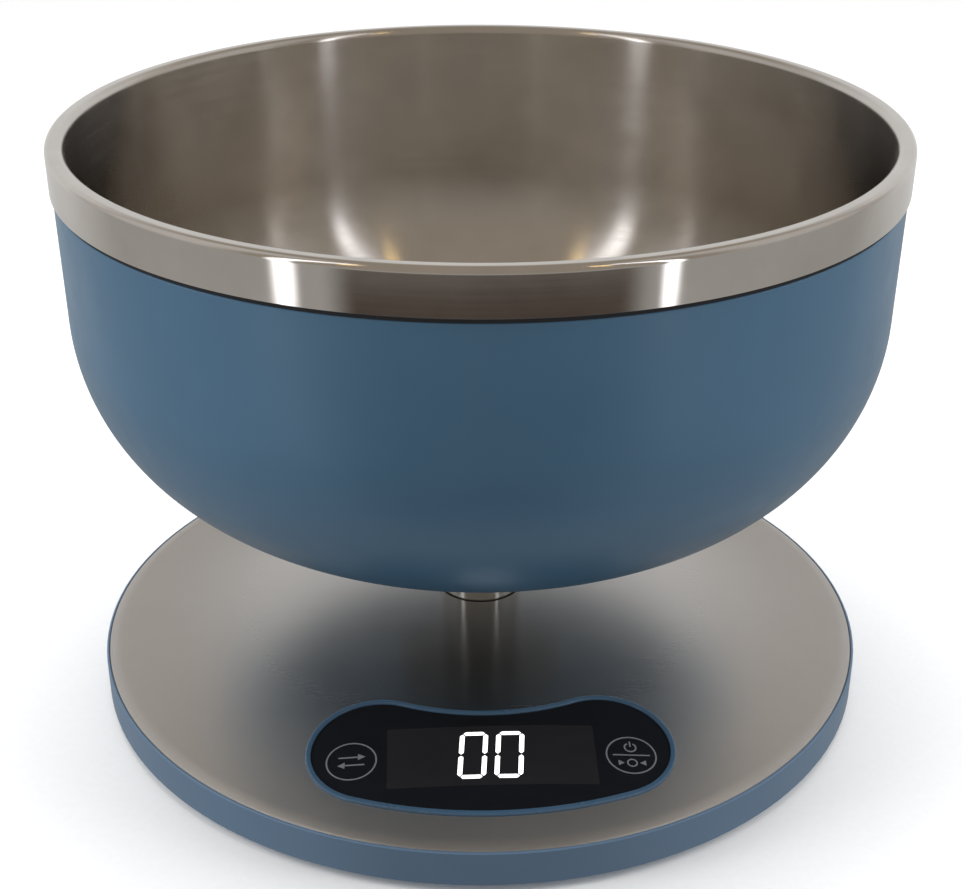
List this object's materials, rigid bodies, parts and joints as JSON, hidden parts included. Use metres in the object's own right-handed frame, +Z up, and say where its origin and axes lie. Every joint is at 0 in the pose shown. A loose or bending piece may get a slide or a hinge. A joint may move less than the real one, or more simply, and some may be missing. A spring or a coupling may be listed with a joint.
{
  "type": "kitchen scale",
  "caption": "Digital kitchen scale: a lift-off steel-lined bowl on a slim pedestal above a round weighing base with a domed steel top, a kidney-shaped display and touch keys.",
  "frame": {"origin": "centre of the pedestal on the supporting surface, under the feet", "axes": "+Z up along the pedestal, -Y towards the display, +X to the right seen from the display side"},
  "size_m": [0.21, 0.21, 0.1549],
  "materials": {
    "housing_blue": "moulded, fine satin grain, slate blue",
    "shell_blue": "moulded, satin, slate blue",
    "trim_blue": "semi-gloss, slate blue",
    "brushed_plate": "brushed stainless steel",
    "polished_steel": "polished stainless steel",
    "tube_steel": "polished stainless tube",
    "gasket_dark": "matt seal",
    "foot_rubber": "matt soft rubber",
    "pad_silicone": "matt silicone",
    "lens_black": "glossy smoked acrylic",
    "window_grey": "smoked window",
    "digit_white": "lit white segment",
    "print_grey": "printed grey line",
    "board_green": "solder-masked board",
    "chip_black": "moulded package",
    "module_white": "white reflector",
    "foam_grey": "conductive foam",
    "cell_aluminium": "milled",
    "gauge_sealant": "white sealant",
    "cast_hub": "die-cast",
    "screw_steel": "plated steel",
    "support_plastic": "moulded, dark grey",
    "battery_jacket": "plain printed jacket",
    "contact_nickel": "nickel-plated spring steel"
  },
  "bodies": {
    "base": {"base_housing": "housing_blue", "top_plate": "brushed_plate", "plate_studs": "screw_steel", "housing_screws": "screw_steel", "rubber_feet": "foot_rubber", "display_trim": "trim_blue", "display_lens": "lens_black", "display_window": "window_grey", "display_digits": "digit_white", "key_marks": "print_grey", "circuit_board": "board_green", "board_screws": "screw_steel", "led_module": "module_white", "board_chips": "chip_black", "touch_pads": "foam_grey", "load_cell": "cell_aluminium", "strain_gauges": "gauge_sealant", "cell_base_pad": "screw_steel", "cell_base_screws": "screw_steel", "hinge_pin": "screw_steel", "batteries": "battery_jacket", "battery_contacts": "contact_nickel"},
    "platform": {"cell_top_pad": "screw_steel", "cell_top_screws": "screw_steel", "stem_hub": "cast_hub", "stem_tube": "tube_steel", "bowl_support": "support_plastic", "support_pad": "pad_silicone", "tie_bolt": "screw_steel"},
    "bowl": {"bowl_shell": "shell_blue", "rim_gasket": "gasket_dark", "bowl_liner": "polished_steel", "bowl_socket": "support_plastic", "socket_screws": "screw_steel"},
    "door": {"battery_door": "housing_blue"}
  },
  "joints": [
    {"name": "weighing_travel", "type": "slide", "parent": "base", "child": "platform", "axis": [0, 0, 1], "range_m": [-0.0005, 0], "stiffness_N_per_m": 60000, "springref_m": 0.00016, "deforming": ["load_cell"]},
    {"name": "bowl_lift", "type": "slide", "parent": "platform", "child": "bowl", "axis": [0, 0, 1], "range_m": [0, 0.12]},
    {"name": "door_hinge", "type": "hinge", "parent": "base", "child": "door", "pos_m": [0, 0.0216, 0.0033], "axis": [-1, 0, 0], "range_deg": [0, 90]}
  ]
}
